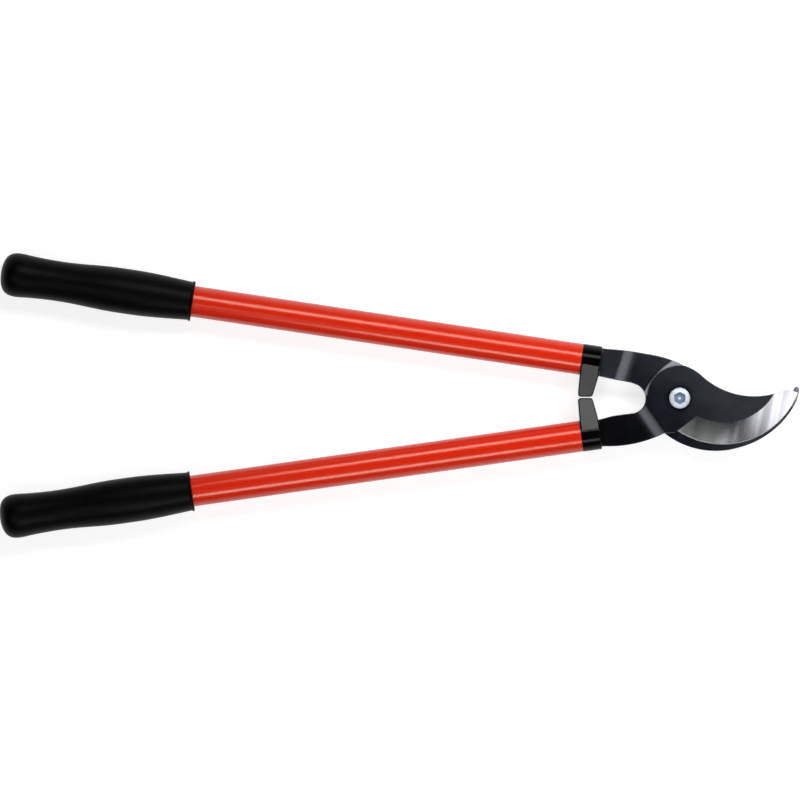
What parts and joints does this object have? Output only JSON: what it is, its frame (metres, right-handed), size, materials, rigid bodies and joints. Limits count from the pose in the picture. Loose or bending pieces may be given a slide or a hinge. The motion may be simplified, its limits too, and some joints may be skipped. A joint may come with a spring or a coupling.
{
  "type": "lopper",
  "caption": "Bypass lopper: curved bevelled blade passing a slim hook jaw on one pivot bolt, steel tube handles with moulded collars, stop blocks and long grips.",
  "frame": {"origin": "pivot axis, on the end face of the pivot bolt, level with the lowest line of both grips as the lopper lies flat", "axes": "+X from the pivot to the blade tip, +Y towards the handle that carries the hook jaw, +Z along the pivot axis from the nut to the bolt head"},
  "size_m": [0.6173, 0.2186, 0.0344],
  "materials": {
    "blade_steel": "dark hardened steel, ground bright on the bevel",
    "hook_steel": "dark forged steel, machined seat",
    "zinc_plate": "bright zinc plate",
    "spring_steel": "oiled spring steel",
    "nylon": "moulded",
    "red_enamel": "gloss",
    "black_moulding": "moulded, satin",
    "black_grip": "moulded, satin"
  },
  "bodies": {
    "hook_side": {"hook_jaw": "hook_steel", "pivot_bolt": "zinc_plate", "disc_spring": "spring_steel", "nut_washer": "zinc_plate", "pivot_nut": "zinc_plate", "nut_lock_ring": "nylon", "upper_tube": "red_enamel", "upper_ferrule": "black_moulding", "upper_tang_plug": "nylon", "upper_tang_pin": "spring_steel", "upper_grip": "black_grip"},
    "blade_side": {"blade_jaw": "blade_steel", "lower_tube": "red_enamel", "lower_ferrule": "black_moulding", "lower_tang_plug": "nylon", "lower_tang_pin": "spring_steel", "lower_grip": "black_grip"}
  },
  "joints": [
    {"name": "pivot", "type": "hinge", "parent": "hook_side", "child": "blade_side", "pos_m": [0, 0, 0.0172], "axis": [0, 0, 1], "range_deg": [-0.6, 50]}
  ]
}
